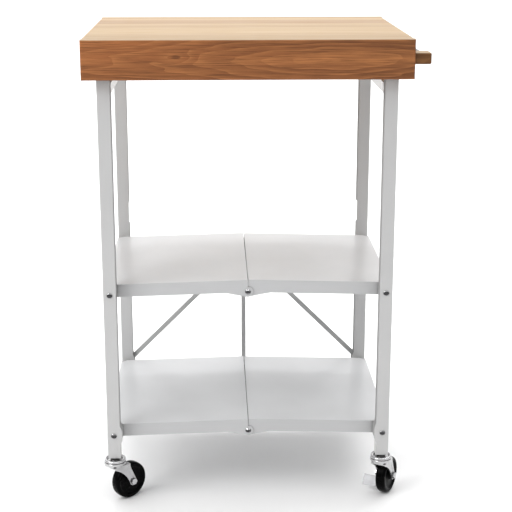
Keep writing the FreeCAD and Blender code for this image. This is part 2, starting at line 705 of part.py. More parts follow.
wall, clear = size("slider_wall"), size("slider_clear")
slot_x, slot_y = size("bar_wide") + 2 * clear, size("bar_deep") + 2 * clear
slider_low = BRACE_TOP - size("slider_tall") / 2
tunnel_front = size("bar_front") - clear
block = Part.makeBox(slot_x + 2 * wall, slot_y + 1.6, size("slider_tall"),
                     Vector(-slot_x / 2 - wall, tunnel_front - 1.0, slider_low))
tunnel_corner = Vector(-slot_x / 2, tunnel_front, slider_low - 1)
tunnel = Part.makeBox(slot_x, slot_y, size("slider_tall") + 2, tunnel_corner)
slider = block.cut(tunnel)
outer_edges = [edge for edge in slider.Edges if runs_along(edge, "z")]
outer_edges = [edge for edge in outer_edges if abs(edge.CenterOfMass.x) > slot_x / 2 + 1]
slider = slider.makeFillet(size("slider_round"), outer_edges)
feature("brace_slider", slider)


# ---------------------------------------------------------------- casters
def swivel_plate(name, angle, x, y):
    """The fixed half of a caster: the stem, with a boss in the dish of the upper ball race."""
    body = new_body(name)
    profile = [
        ("0", "race_low"), ("race_rad - 2", "race_low"), ("race_rad", "race_low + 1.5"),
        ("race_rad", "race_low + 3.5"), ("race_rad - 1.5", "race_low + 5.5"),
        ("race_rad - 3.5", "race_low + 5.5"), ("race_rad - 7", "race_low + dish_floor"),
        ("boss_rad", "race_low + dish_floor"), ("boss_rad", "leg_bottom - 0.2"),
        ("stem_rad", "leg_bottom - 0.2"), ("stem_rad", "stem_top - 1"),
        ("stem_rad - 1", "stem_top"), ("0", "stem_top"),
    ]
    revolve(body, outline(body, "XZ_Plane", profile))
    keep(name, body, angle, x, y)


def fork(name, angle, x, y):
    """A pressed steel fork: lower ball race, bridge and two tapered arms down to the axle."""
    trail, gap, thick = size("wheel_trail"), size("fork_gap"), size("fork_sheet")
    radius, top = size("wheel_rad"), size("race_low") - 0.4
    race = size("race_rad")
    width = gap + 2 * thick
    crown_tall, neck_tall = size("crown_tall"), size("neck_tall")
    crown = Part.makeCylinder(race, crown_tall, Vector(0, 0, top - crown_tall))
    circles = [edge for edge in crown.Edges if edge.Curve.TypeId == "Part::GeomCircle"]
    crown = crown.makeFillet(size("fork_round"), circles)
    neck = Part.makeCone(race - 5.0, race - 3.0, neck_tall, Vector(0, 0, top - crown_tall - 4.0))
    bridge_low, bridge_thick = top - size("bridge_drop"), size("bridge_thick")
    bridge_start = Vector(-race + 8.0, -width / 2, bridge_low)
    bridge = Part.makeBox(race + trail * 0.55, width, bridge_thick, bridge_start)
    eye = size("fork_eye_rad")
    shoulder = trail * 0.55 + 8.0
    outline_points = [
        Vector(-race + 8.0, 0, bridge_low + bridge_thick), Vector(-race + 12.0, 0, bridge_low - 3.0),
        Vector(trail - eye, 0, radius - 1.0), Vector(trail, 0, radius - eye),
        Vector(trail + eye, 0, radius), Vector(shoulder, 0, bridge_low - 4.0),
        Vector(shoulder, 0, bridge_low + bridge_thick),
    ]
    # the front edge of an arm is hollow
    chord = outline_points[2] - outline_points[1]
    hollow = (outline_points[1] + outline_points[2]) / 2
    hollow += Vector(-chord.z, 0, chord.x).normalize() * size("arm_hollow")
    edges = [
        Part.LineSegment(outline_points[0], outline_points[1]).toShape(),
        Part.Arc(outline_points[1], hollow, outline_points[2]).toShape(),
        Part.Arc(outline_points[2], outline_points[3], outline_points[4]).toShape(),
        Part.LineSegment(outline_points[4], outline_points[5]).toShape(),
        Part.LineSegment(outline_points[5], outline_points[6]).toShape(),
        Part.LineSegment(outline_points[6], outline_points[0]).toShape(),
    ]
    plate = Part.Face(Part.Wire(edges)).extrude(Vector(0, thick, 0))
    arms = []
    for low_y in (-width / 2, gap / 2):
        arm = plate.copy()
        arm.translate(Vector(0, low_y, 0))
        arms.append(arm)
    solid = crown.multiFuse([neck, bridge] + arms)
    hole = size("axle_rad") + size("axle_clear")
    hole_start = Vector(trail, -width / 2 - 2, radius)
    solid = solid.cut(Part.makeCylinder(hole, width + 4, hole_start, Vector(0, 1, 0)))
    solid = solid.removeSplitter()
    feature(name, solid, angle, x, y)


def wheel(name, angle, x, y):
    """A solid wheel with a rounded tread, recessed sides and a hub that fills the fork."""
    body = new_body(name)
    hub_face, dish, rim = "(fork_gap / 2 - hub_gap)", "(wheel_wide / 2 - dish_deep)", "(wheel_wide / 2)"
    half_profile = [("axle_rad + axle_clear", hub_face), ("hub_rad", hub_face), ("dish_low_rad", dish),
                    ("dish_high_rad", dish), ("rim_rad", rim), ("wheel_rad - 3", rim),
                    ("wheel_rad - 0.8", rim + " - 2.6"), ("wheel_rad", rim + " - 5.5")]
    other_half = [(radius, f"-1 * ({place})") for radius, place in reversed(half_profile)]
    revolve(body, outline(body, "XY_Plane", half_profile + other_half))
    # the sketch's vertical axis is Y, the direction of the axle
    turn = math.radians(angle)
    hub_x = f"{x} + wheel_trail * {math.cos(turn):.9f}"
    hub_y = f"{y} + wheel_trail * {math.sin(turn):.9f}"
    keep(name, body, angle, hub_x, hub_y, "wheel_rad")


def axle(name, angle, x, y, braked):
    """The axle bolt: a hexagon head on one side and a nut on the other."""
    grip = size("fork_gap") / 2 + size("fork_sheet")
    far = grip + (size("lever_gap") + size("lever_sheet") + 0.4 if braked else 0.1)
    near = grip + 0.1
    centre = Vector(size("wheel_trail"), 0, size("wheel_rad"))
    pin = Part.makeCylinder(size("axle_rad"), near + far, centre + Vector(0, -near, 0), Vector(0, 1, 0))
    across, tall = size("nut_corner_rad"), size("nut_tall")
    turns = [n * math.pi / 3 for n in range(6)]
    corners = [Vector(across * math.cos(turn), 0, across * math.sin(turn)) for turn in turns]
    hexagon = Part.Face(Part.makePolygon(corners + corners[:1]))
    nut = hexagon.extrude(Vector(0, tall, 0))
    nut.translate(centre + Vector(0, far, 0))
    head = hexagon.extrude(Vector(0, -tall, 0))
    head.translate(centre + Vector(0, -near, 0))
    feature(name, pin.multiFuse([nut, head]).removeSplitter(), angle, x, y)


def brake_lever(name, angle, x, y):
    """A side brake: an eye plate on the axle, and a steep pedal that stands out beside the wheel."""
    trail, radius = size("wheel_trail"), size("wheel_rad")
    face = size("fork_gap") / 2 + size("fork_sheet") + size("lever_gap")
    thick, reach = size("lever_sheet"), size("pedal_reach")
    eye_radius = size("lever_eye_rad")
    eye = Part.makeCylinder(eye_radius, thick, Vector(trail, face, radius), Vector(0, 1, 0))
    # the pedal leans back: its lower edge is further from the axle than its upper edge
    lean = math.radians(size("pedal_lean"))
    up = Vector(math.cos(lean), 0, math.sin(lean)) * (size("pedal_tall") / 2)
    through = Vector(-math.sin(lean), 0, math.cos(lean)) * (thick / 2)
    middle = Vector(trail - eye_radius - 1.0, face, radius - size("pedal_drop"))
    corners = [middle - up - through, middle + up - through, middle + up + through, middle - up + through]
    pedal = Part.Face(Part.makePolygon(corners + corners[:1])).extrude(Vector(0, reach, 0))
    # a web in the eye plate's own plane joins the two
    web_corners = [middle - up, middle + up, Vector(trail, face, radius + eye_radius - 2.0),
                   Vector(trail, face, radius - eye_radius + 2.0)]
    web = Part.Face(Part.makePolygon(web_corners + web_corners[:1])).extrude(Vector(0, thick, 0))
    lever = eye.multiFuse([web, pedal])
    bore = size("axle_rad") + size("axle_clear")
    lever = lever.cut(Part.makeCylinder(bore, thick + 2, Vector(trail, face - 1, radius), Vector(0, 1, 0)))
    feature(name, lever.removeSplitter(), angle, x, y)


LEG_Y = "(frame_depth / 2 - leg_wide / 2)"
CASTERS = (
    ("front_left", -1, -1, 42.0, False), ("front_right", 1, -1, 61.0, True),
    ("rear_left", -1, 1, -60.0, False), ("rear_right", 1, 1, -75.0, False),
)
for word, side, end, angle, braked in CASTERS:
    place = (angle, f"{side} * {HALF_PITCH}", f"{end} * {LEG_Y}")
    swivel_plate(f"{word}_stem", *place)
    fork(f"{word}_fork", *place)
    wheel(f"{word}_wheel", *place)
    axle(f"{word}_axle", *place, braked)
    if braked:
        brake_lever(f"{word}_brake", *place)

# ---------------------------------------------------------------- check and write
sheet.clear("D1")
doc.recompute()
for item in doc.Objects:
    if "Invalid" in item.State or "Error" in item.State:
        raise RuntimeError(f"{item.Name} ({item.Label}) failed: {item.State}")
for name, item in nodes.items():
    if item.Shape.isNull() or not item.Shape.isValid() or not item.Shape.Solids:
        raise RuntimeError(f"{name} has no valid solid")

os.makedirs("parts", exist_ok=True)
for name, item in nodes.items():
    item.Shape.exportStep(os.path.join("parts", name + ".step"))
whole = Part.makeCompound([item.Shape for item in nodes.values()])
bounds = whole.BoundBox
sides = [f"{low:.2f}..{high:.2f}" for low, high in
         ((bounds.XMin, bounds.XMax), (bounds.YMin, bounds.YMax), (bounds.ZMin, bounds.ZMax))]
print(f"{len(nodes)} sub-parts, " + ", ".join(sides))
print(f"shelf tilt {TILT:.3f} deg; slider at z = {BRACE_TOP:.2f}")
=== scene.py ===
import json
import math

import bmesh
import bpy
from mathutils import Matrix, Vector


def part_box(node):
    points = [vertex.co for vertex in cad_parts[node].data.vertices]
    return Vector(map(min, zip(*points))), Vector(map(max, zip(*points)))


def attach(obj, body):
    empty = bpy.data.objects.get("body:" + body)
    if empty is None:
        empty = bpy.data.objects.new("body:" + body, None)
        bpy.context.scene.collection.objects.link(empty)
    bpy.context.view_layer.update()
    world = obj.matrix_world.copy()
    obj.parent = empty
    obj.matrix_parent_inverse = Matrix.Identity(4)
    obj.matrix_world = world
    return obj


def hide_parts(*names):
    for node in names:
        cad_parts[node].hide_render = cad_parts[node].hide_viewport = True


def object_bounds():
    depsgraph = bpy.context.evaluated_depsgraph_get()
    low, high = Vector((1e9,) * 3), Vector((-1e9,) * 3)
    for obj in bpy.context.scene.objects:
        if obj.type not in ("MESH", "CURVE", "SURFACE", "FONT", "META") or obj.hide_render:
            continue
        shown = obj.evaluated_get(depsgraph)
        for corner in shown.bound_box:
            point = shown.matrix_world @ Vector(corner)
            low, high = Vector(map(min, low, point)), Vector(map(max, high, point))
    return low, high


# Looks for the folding kitchen trolley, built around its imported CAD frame.
# Metres, +Z up, front at -Y, the towel rail at +X.

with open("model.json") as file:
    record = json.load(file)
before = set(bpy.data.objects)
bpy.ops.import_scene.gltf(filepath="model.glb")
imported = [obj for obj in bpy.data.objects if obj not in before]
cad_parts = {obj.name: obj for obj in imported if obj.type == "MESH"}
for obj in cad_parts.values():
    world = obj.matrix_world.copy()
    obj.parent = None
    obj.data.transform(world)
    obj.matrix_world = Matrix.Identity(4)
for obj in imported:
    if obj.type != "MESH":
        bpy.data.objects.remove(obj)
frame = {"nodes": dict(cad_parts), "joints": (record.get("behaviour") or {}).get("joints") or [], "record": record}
cad_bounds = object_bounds()
record = frame["record"]
SLOT_OF = {row["node"]: row["material_slot"] for row in record["subparts"]}
BODY_OF = {node: body for body, members in record["behaviour"]["bodies"].items()
           for node in members}
JOINTS = {joint["name"]: joint for joint in frame["joints"]}
MM = 0.001
SIDES = ("left", "right")
CASTERS = ("front_left", "front_right", "rear_left", "rear_right")


# ---------------------------------------------------------------- materials
# painted shade where surfaces come close, as inside a channel: the colour it darkens towards, and its samples
HOLLOW_SHADE_TONE = (0.09, 0.085, 0.08)
HOLLOW_SAMPLES = 8
SHUT_IN, OPEN_AIR = 0.25, 0.95    # ambient occlusion that counts as fully dark, and as clear
PAINT_HOLLOW_SHADE = (0.016, 0.8)       # painted shade: how near, in metres, another surface darkens the colour, and how much
METAL_HOLLOW_SHADE = (0.012, 0.7)
METAL_MARKS = (1.0, 1.0, 6.0)     # the rubbing marks are this much finer along Z
# painted reflection: the dark room that plated metal mirrors from below eye level, and the band of facing where it
# shows
ROOM_REFLECTION = (0.03, 0.03, 0.032)
REFLECTION_BAND = (0.22, 0.34, 0.56, 0.64)    # starts, is full, starts to fade, ends: (normal Z + 1) / 2


class Shader:
    """A node material with one Principled shader and short ways to add to its tree."""

    def __init__(self, name):
        self.material = bpy.data.materials.new(name)
        self.material.use_nodes = True
        self.tree = self.material.node_tree
        self.surface = self.tree.nodes["Principled BSDF"]
        self.place = self.add("ShaderNodeTexCoord").outputs["Object"]

    def add(self, kind, **settings):
        node = self.tree.nodes.new(kind)
        for key, value in settings.items():
            setattr(node, key, value)
        return node

    def feed(self, socket, value):
        if isinstance(value, bpy.types.NodeSocket):
            self.tree.links.new(value, socket)
        else:
            socket.default_value = value

    def math(self, operation, first, second=0.0):
        node = self.add("ShaderNodeMath", operation=operation)
        self.feed(node.inputs[0], first)
        self.feed(node.inputs[1], second)
        return node.outputs[0]

    def split(self, vector):
        node = self.add("ShaderNodeSeparateXYZ")
        self.feed(node.inputs[0], vector)
        return node.outputs[0], node.outputs[1], node.outputs[2]

    def join(self, x, y, z):
        node = self.add("ShaderNodeCombineXYZ")
        for socket, value in zip(node.inputs, (x, y, z)):
            self.feed(socket, value)
        return node.outputs[0]

    def stretch(self, scales, vector=None):
        """A place scaled along X, Y and Z: the features per metre of a noise that reads it."""
        node = self.add("ShaderNodeVectorMath", operation="MULTIPLY")
        self.feed(node.inputs[0], vector or self.place)
        node.inputs[1].default_value = scales
        return node.outputs[0]

    def noise(self, vector, detail, scale=1.0, rough=0.55, distortion=0.0):
        node = self.add("ShaderNodeTexNoise")
        self.feed(node.inputs["Vector"], vector)
        node.inputs["Scale"].default_value = scale
        node.inputs["Detail"].default_value = detail
        node.inputs["Roughness"].default_value = rough
        node.inputs["Distortion"].default_value = distortion
        return node.outputs["Fac"]

    def ramp(self, value, *stops):
        """Stops are (place, colour)."""
        node = self.add("ShaderNodeValToRGB")
        self.feed(node.inputs[0], value)
        elements = node.color_ramp.elements
        while len(elements) < len(stops):
            elements.new(0.5)
        for element, (place, colour) in zip(elements, stops):
            element.position = place
            element.color = (*colour, 1.0)
        return node.outputs[0]

    def mix(self, amount, first, second):
        node = self.add("ShaderNodeMix", data_type="RGBA")
        self.feed(node.inputs[0], amount)
        for socket, value in ((node.inputs[6], first), (node.inputs[7], second)):
            self.feed(socket, value if isinstance(value, bpy.types.NodeSocket) else (*value, 1.0))
        return node.outputs[2]

    def remap(self, value, low, high, to_low, to_high):
        node = self.add("ShaderNodeMapRange")
        self.feed(node.inputs[0], value)
        for socket, number in zip(node.inputs[1:5], (low, high, to_low, to_high)):
            socket.default_value = number
        return node.outputs[0]

    def bump(self, height, strength, distance):
        node = self.add("ShaderNodeBump")
        node.inputs["Strength"].default_value = strength
        node.inputs["Distance"].default_value = distance
        self.feed(node.inputs["Height"], height)
        self.feed(self.surface.inputs["Normal"], node.outputs[0])

    def painted_hollow_shade(self, colour, reach, depth):
        """Painted shade: the colour, darkened where the surface is close to another, as inside a channel."""
        node = self.add("ShaderNodeAmbientOcclusion", samples=HOLLOW_SAMPLES)
        node.inputs["Distance"].default_value = reach
        shade = self.remap(node.outputs["AO"], SHUT_IN, OPEN_AIR, 1.0, 0.0)
        return self.mix(self.math("MULTIPLY", shade, depth), colour, HOLLOW_SHADE_TONE)

    def set(self, **values):
        """Feeds the surface's sockets, each named in lower case with underscores."""
        for key, value in values.items():
            socket = key.replace("_", " ").title().replace("Ior", "IOR")
            self.feed(self.surface.inputs[socket], value)


def toned(colour, share):
    return [part * share for part in colour]


WOOD_GLOSS = 0.28
STAVE = 0.042                     # width of one stave of the top
STAVE_SHIFT = 9.0                 # how far along X a stave's grain may be moved
STAVE_FINE = (7.0, 330.0, 330.0)  # features per metre of the fine and the broad grain
STAVE_BROAD = (1.6, 45.0, 45.0)
SEAM_START = 0.488                # in staves from a stave's middle, whose edge is at 0.5
TOP_PALE = (0.44, 0.316, 0.175)
TOP_TAN = (0.36, 0.25, 0.132)
TOP_PINK = (0.315, 0.195, 0.105)
TOP_BROWN = (0.36, 0.215, 0.115)
TOP_PORE = (0.27, 0.15, 0.075)
TOP_SEAM = (0.13, 0.07, 0.035)


def stave_colour(shader):
    """Edge-glued staves along X, each with its own tone and its own run of grain."""
    x, y, z = shader.split(shader.place)
    across = shader.math("DIVIDE", y, STAVE)
    number = shader.math("FLOOR", across)
    pick = shader.add("ShaderNodeTexWhiteNoise", noise_dimensions="1D")
    shader.feed(pick.inputs["W"], number)
    tone = pick.outputs["Value"]
    moved = shader.join(shader.math("ADD", x, shader.math("MULTIPLY", tone, STAVE_SHIFT)), y, z)
    fine = shader.noise(shader.stretch(STAVE_FINE, moved), detail=5.0)
    broad = shader.noise(shader.stretch(STAVE_BROAD, moved), detail=3.0)
    colour = shader.ramp(tone, (0.0, TOP_PALE), (0.55, TOP_TAN), (1.0, TOP_PINK))
    colour = shader.mix(shader.remap(broad, 0.35, 0.7, 0.0, 0.35), colour, TOP_BROWN)
    colour = shader.mix(shader.remap(fine, 0.45, 0.75, 0.0, 0.32), colour, TOP_PORE)
    edge = shader.math("ABSOLUTE", shader.math("SUBTRACT", shader.math("FRACT", across), 0.5))
    seam = shader.remap(edge, SEAM_START, 0.5, 0.0, 0.55)
    return shader.mix(seam, colour, TOP_SEAM), fine


def top_wood():
    shader = Shader("oiled_staves")
    colour, fine = stave_colour(shader)
    shader.set(base_color=colour, roughness=shader.remap(fine, 0.3, 0.7, 0.42, 0.58),
               specular_ior_level=WOOD_GLOSS)
    shader.bump(fine, 0.12, 0.0004)
    return shader.material


front_low, front_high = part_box("front_apron")


def on_board(along, up):
    """A place on the front board, by its shares of the board's length and height."""
    size = front_high - front_low
    return Vector((front_low.x + along * size.x, 0.0, front_low.z + up * size.z))


GRAIN_CENTRE = on_board(0.73, 0.5)
KNOT = on_board(0.285, 0.58)
UNIT_RING = (0.26, 0.03)          # radii along X and Z of the oval that the rings are measured in
KNOT_REACH = (0.045, 0.017)       # radii of the oval in which the knot bends them
KNOT_HEART = (0.011, 0.005)       # radii of its dark heart
RINGS = 3.4                       # rings to one unit
WANDER = (2.6, 8.0, 19.0)         # features per metre of the noise that bends the rings
WANDER_DEPTH = 1.5
PORES = (11.0, 260.0, 520.0)      # and of the pores, the pale streaks and the broad shades
STREAKS = (1.5, 20.0, 34.0)
SHADES = (2.2, 20.0, 22.0)
PALE_LIFT = (0.11, 0.062, 0.022)  # how much paler the streaks of the boards are
PALE_GAIN = 1.12


def square(shader, value):
    return shader.math("MULTIPLY", value, value)


def oval_distance(shader, centre, oval):
    """Distance from a centre in X and Z, in units of an oval's two radii."""
    long, tall = oval
    x, _, z = shader.split(shader.place)
    along = shader.math("DIVIDE", shader.math("SUBTRACT", x, centre.x), long)
    up = shader.math("DIVIDE", shader.math("SUBTRACT", z, centre.z), tall)
    return shader.math("SQRT", shader.math("ADD", square(shader, along), square(shader, up)))


def face_grain(shader):
    """Cathedral grain: long ovals round one place, bent by noise and by a knot."""
    wander = shader.noise(shader.stretch(WANDER), detail=3.0)
    near_knot = shader.remap(oval_distance(shader, KNOT, KNOT_REACH), 0.0, 1.0, 0.55, 0.0)
    away = oval_distance(shader, GRAIN_CENTRE, UNIT_RING)
    bent = shader.math("ADD", away, shader.math("MULTIPLY", wander, WANDER_DEPTH))
    bent = shader.math("ADD", bent, near_knot)
    rings = shader.math("FRACT", shader.math("MULTIPLY", bent, RINGS))
    return square(shader, rings)


def board_wood(name, light, dark):
    """A wide board with face grain, lighter towards the left; where it faces up it takes the staves' paler
    colours, a painted highlight for the light from above.
    """
    shader = Shader(name)
    x = shader.split(shader.place)[0]
    rings = face_grain(shader)
    pores = shader.noise(shader.stretch(PORES), detail=6.0, rough=0.7)
    streak = shader.noise(shader.stretch(STREAKS), detail=4.0, distortion=0.5)
    shade = shader.noise(shader.stretch(SHADES), detail=2.0)
    low, high = cad_bounds[0][0], cad_bounds[1][0]
    base = shader.mix(shader.remap(x, low, high, 0.05, 0.95), light, dark)
    pale = [part * PALE_GAIN + lift for part, lift in zip(light, PALE_LIFT)]
    colour = shader.mix(shader.remap(shade, 0.38, 0.62, 0.0, 0.55), base, toned(dark, 0.7))
    colour = shader.mix(shader.remap(streak, 0.48, 0.66, 0.0, 0.55), colour, pale)
    colour = shader.mix(shader.math("MULTIPLY", rings, 0.5), colour, pale)
    colour = shader.mix(shader.remap(pores, 0.46, 0.66, 0.0, 0.75), colour, toned(dark, 0.4))
    heart = shader.remap(oval_distance(shader, KNOT, KNOT_HEART), 0.4, 1.0, 0.5, 0.0)
    colour = shader.mix(heart, colour, toned(dark, 0.35))
    staves, _ = stave_colour(shader)
    # painted highlight: faces that look up take the staves' paler colours, standing in for the light from above
    facing = shader.add("ShaderNodeTexCoord").outputs["Normal"]
    upward_highlight = shader.remap(shader.split(facing)[2], 0.55, 0.9, 0.0, 1.0)
    shader.set(base_color=shader.mix(upward_highlight, colour, staves),
               roughness=shader.remap(pores, 0.3, 0.8, 0.42, 0.6), specular_ior_level=WOOD_GLOSS)
    shader.bump(pores, 0.18, 0.0004)
    return shader.material


def paint(name, colour, rough=0.24):
    """Powder coat: a faint orange peel, a slow change of gloss, and painted shade in its hollows."""
    shader = Shader(name)
    peel = shader.noise(shader.place, scale=900.0, detail=2.0)
    slow = shader.noise(shader.place, scale=6.0, detail=3.0)
    tint = shader.mix(shader.remap(slow, 0.35, 0.7, 0.0, 1.0), colour, toned(colour, 0.965))
    # painted shade where the surface is close to another
    tint = shader.painted_hollow_shade(tint, *PAINT_HOLLOW_SHADE)
    shader.set(base_color=tint, roughness=shader.remap(slow, 0.3, 0.7, rough, rough + 0.08),
               coat_weight=0.2, coat_roughness=0.2)
    shader.bump(peel, 0.06, 0.0002)
    return shader.material


def metal(name, colour, rough, spread=0.1, band=0.0):
    """Plated or bare metal with fine rubbing marks and a little dulling.

    band paints the reflection of a dark room into the colour of the faces that look level or somewhat below.
    """
    shader = Shader(name)
    marks = shader.noise(shader.stretch(METAL_MARKS), scale=420.0, detail=3.0)
    haze = shader.noise(shader.place, scale=70.0, detail=4.0)
    tint = shader.mix(shader.remap(haze, 0.4, 0.75, 0.0, 0.5), colour, toned(colour, 0.72))
    # a painted reflection of the dark room on faces that look level or somewhat below
    if band:
        normal = shader.add("ShaderNodeNewGeometry").outputs["Normal"]
        lean = shader.remap(shader.split(normal)[2], -1.0, 1.0, 0.0, 1.0)
        none, full = (0, 0, 0), (1, 1, 1)
        below = shader.ramp(lean, *zip(REFLECTION_BAND, (none, full, full, none)))
        tint = shader.mix(shader.math("MULTIPLY", below, band), tint, ROOM_REFLECTION)
    # painted shade where the surface is close to another
    tint = shader.painted_hollow_shade(tint, *METAL_HOLLOW_SHADE)
    shader.set(base_color=tint, metallic=1.0,
               roughness=shader.remap(haze, 0.3, 0.75, rough, rough + spread))
    shader.bump(marks, 0.05, 0.0001)
    return shader.material


def moulded(name, colour, rough, grain=380.0, gloss=0.5):
    """Moulded plastic or rubber with a fine mottle."""
    shader = Shader(name)
    mottle = shader.noise(shader.place, scale=grain, detail=3.0)
    dust = shader.noise(shader.place, scale=28.0, detail=5.0)
    paler = [min(1.0, part * 1.3 + 0.001) for part in colour]
    tint = shader.mix(shader.remap(dust, 0.5, 0.8, 0.0, 0.6), colour, paler)
    shader.set(base_color=tint, roughness=shader.remap(dust, 0.3, 0.75, rough, rough + 0.14),
               specular_ior_level=gloss)
    shader.bump(mottle, 0.1, 0.0002)
    return shader.material


MATERIALS = {
    "top_wood": top_wood(),
    "apron_wood": board_wood("board_face_grain", (0.40, 0.14, 0.045), (0.20, 0.073, 0.026)),
    "batten_wood": board_wood("plain_sawn", (0.42, 0.25, 0.13), (0.36, 0.2, 0.1)),
    # the post's wood is much darker than the apron's: its end grain, and painted shade
    "post_wood": board_wood("post_grain_and_shade", (0.13, 0.05, 0.016), (0.10, 0.038, 0.012)),
    "black_paint": paint("black_gloss", (0.012, 0.012, 0.012), 0.3),
    "screw_steel": metal("screw_zinc", (0.62, 0.61, 0.58), 0.3),
    "white_paint": paint("white_legs", (0.56, 0.56, 0.56), 0.32),
    "shelf_paint": paint("white_shelves", (0.54, 0.543, 0.55), 0.34),
    "brace_paint": paint("white_brace", (0.48, 0.48, 0.48)),
    "white_plastic": moulded("white_moulded", (0.72, 0.72, 0.70), 0.45),
    "rivet_chrome": metal("rivet_polish", (0.62, 0.62, 0.63), 0.10, 0.06, 0.95),
    "rivet_steel": metal("rivet_plain", (0.62, 0.62, 0.63), 0.26),
    "caster_chrome": metal("bright_plate", (0.78, 0.78, 0.79), 0.12, 0.10, 0.3),
    "axle_steel": metal("axle_bright", (0.66, 0.66, 0.67), 0.2),
    "brake_steel": metal("pedal_plate", (0.40, 0.40, 0.41), 0.34),
    "wheel_black": moulded("hard_black", (0.0004, 0.0004, 0.0005), 0.22, 600.0, 0.05),
}
for node, item in frame["nodes"].items():
    item.data.materials.clear()
    item.data.materials.append(MATERIALS[SLOT_OF[node]])


# ---------------------------------------------------------------- pieces
def finish_piece(name, mesh, node, replace=True):
    """Links a mesh as a piece that rides with a CAD node's body and takes its finish."""
    piece = bpy.data.objects.new(name, mesh)
    bpy.context.scene.collection.objects.link(piece)
    mesh.materials.append(MATERIALS[SLOT_OF[node]])
    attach(piece, BODY_OF[node])
    if replace:
        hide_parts(node)
    return piece


HARD_ANGLE = 30                   # degrees between faces from which an edge stays crisp
FLAT_ANGLE = 0.4                  # degrees between faces below which they are one flat face
LONG_EDGE = 2.6 * MM              # hard edges longer than this are rounded
CAD_WELD = 2e-6                   # corners of a CAD mesh nearer than this are one corner
TINY = 1e-7                       # a radius or a gap below this counts as none


def softened(node, width, segments=2):
    """A copy of a CAD node with its longer hard edges rounded, standing for that node."""
    shape = bmesh.new()
    shape.from_mesh(frame["nodes"][node].data)
    bmesh.ops.remove_doubles(shape, verts=shape.verts, dist=CAD_WELD)
    bmesh.ops.dissolve_limit(shape, angle_limit=math.radians(FLAT_ANGLE),
                             verts=shape.verts, edges=shape.edges)
    rounded = shape.edges.layers.float.new("bevel_weight_edge")
    for edge in shape.edges:
        if len(edge.link_faces) == 2 and edge.calc_face_angle(0.0) > math.radians(HARD_ANGLE):
            edge.smooth = False
            edge[rounded] = 1.0 if edge.calc_length() > LONG_EDGE else 0.0
    for face in shape.faces:
        face.smooth = True
    mesh = bpy.data.meshes.new(node + "_skin")
    shape.to_mesh(mesh)
    shape.free()
    piece = finish_piece(node + "_skin", mesh, node)
    bevel = piece.modifiers.new("edges", "BEVEL")
    bevel.width = width
    bevel.segments = segments
    bevel.limit_method = "WEIGHT"
    bevel.use_clamp_overlap = True
    bevel.harden_normals = True


def turning(axis, centre):
    """A matrix that takes +Z onto an axis and the origin onto a centre."""
    turn = Vector((0, 0, 1)).rotation_difference(axis).to_matrix().to_4x4()
    return Matrix.Translation(centre) @ turn


def lathe(shape, profile, axis, centre, steps):
    """Turns a profile of (radius, height) pairs about an axis, closed where the radius is 0."""
    matrix = turning(axis, centre)
    rings = []
    for radius, height in profile:
        if radius < TINY:
            rings.append([shape.verts.new(matrix @ Vector((0, 0, height)))])
            continue
        ring = []
        for step in range(steps):
            angle = 2 * math.pi * step / steps
            place = Vector((radius * math.cos(angle), radius * math.sin(angle), height))
            ring.append(shape.verts.new(matrix @ place))
        rings.append(ring)
    for low, high in zip(rings, rings[1:]):
        for step in range(steps):
            after = (step + 1) % steps
            corners = [low[step % len(low)], low[after % len(low)],
                       high[after % len(high)], high[step % len(high)]]
            # a ring that is a single point gives the same corner twice
            corners = [corner for index, corner in enumerate(corners)
                       if corner not in corners[:index]]
            shape.faces.new(corners)
    return shape


def as_mesh(shape, name, sharp=40):
    bmesh.ops.remove_doubles(shape, verts=shape.verts, dist=TINY)
    bmesh.ops.recalc_face_normals(shape, faces=shape.faces)
    for face in shape.faces:
        face.smooth = True
    for edge in shape.edges:
        if len(edge.link_faces) == 2 and edge.calc_face_angle(0.0) > math.radians(sharp):
            edge.smooth = False
    mesh = bpy.data.meshes.new(name)
    shape.to_mesh(mesh)
    shape.free()
    return mesh


DOME_STEPS = 8
DOME_RIM = 0.25                   # share of a head's height that is its straight rim


def dome(radius, tall, start, sign):
    """Profile of a domed head that starts at a height and swells out by sign."""
    points = [(radius, start), (radius, start + sign * DOME_RIM * tall)]
    for step in range(1, DOME_STEPS + 1):
        turn = math.pi / 2 * step / DOME_STEPS
        rise = DOME_RIM + (1 - DOME_RIM) * math.sin(turn)
        points.append((radius * math.cos(turn), start + sign * tall * rise))
    points[-1] = (0.0, points[-1][1])
    return points


PIN_STEPS, WHEEL_STEPS, CUP_STEPS = 40, 96, 72    # faces round each turned piece
HINGE_RAD = 3.0 * MM
HEAD_RAD = 5.4 * MM
HEAD_TALL = 2.5 * MM
LEG_FACES = (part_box("front_left_leg")[0].y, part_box("rear_left_leg")[1].y)    # foremost, rearmost


def hinge_pin(node):
    """A hinge pin through both legs, with a polished dome at each end."""
    low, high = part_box(node)
    centre = (low + high) / 2
    front, back = LEG_FACES
    profile = list(reversed(dome(HEAD_RAD, HEAD_TALL, front, -1))) + [(HINGE_RAD, front)]
    profile += [(HINGE_RAD, back)] + dome(HEAD_RAD, HEAD_TALL, back, 1)
    middle = Vector((centre.x, 0, centre.z))
    shape = lathe(bmesh.new(), profile, Vector((0, 1, 0)), middle, PIN_STEPS)
    finish_piece(node + "_turned", as_mesh(shape, node), node)


for word in SIDES:
    for level in ("upper", "lower"):
        hinge_pin(f"{level}_{word}_hinge_rod")

# each with the width of its rounded edges
for word in SIDES:
    for end in ("front", "rear"):
        softened(f"{end}_{word}_leg", 0.5 * MM)
    softened(f"{word}_top_rail", 0.45 * MM)
    softened(f"{word}_leg_plugs", 0.6 * MM)
    softened(f"{word}_brace", 0.35 * MM)
    for level in ("upper", "lower"):
        softened(f"{level}_{word}_shelf", 0.42 * MM)
softened("centre_bar", 0.35 * MM)
softened("front_right_brake", 0.6 * MM)


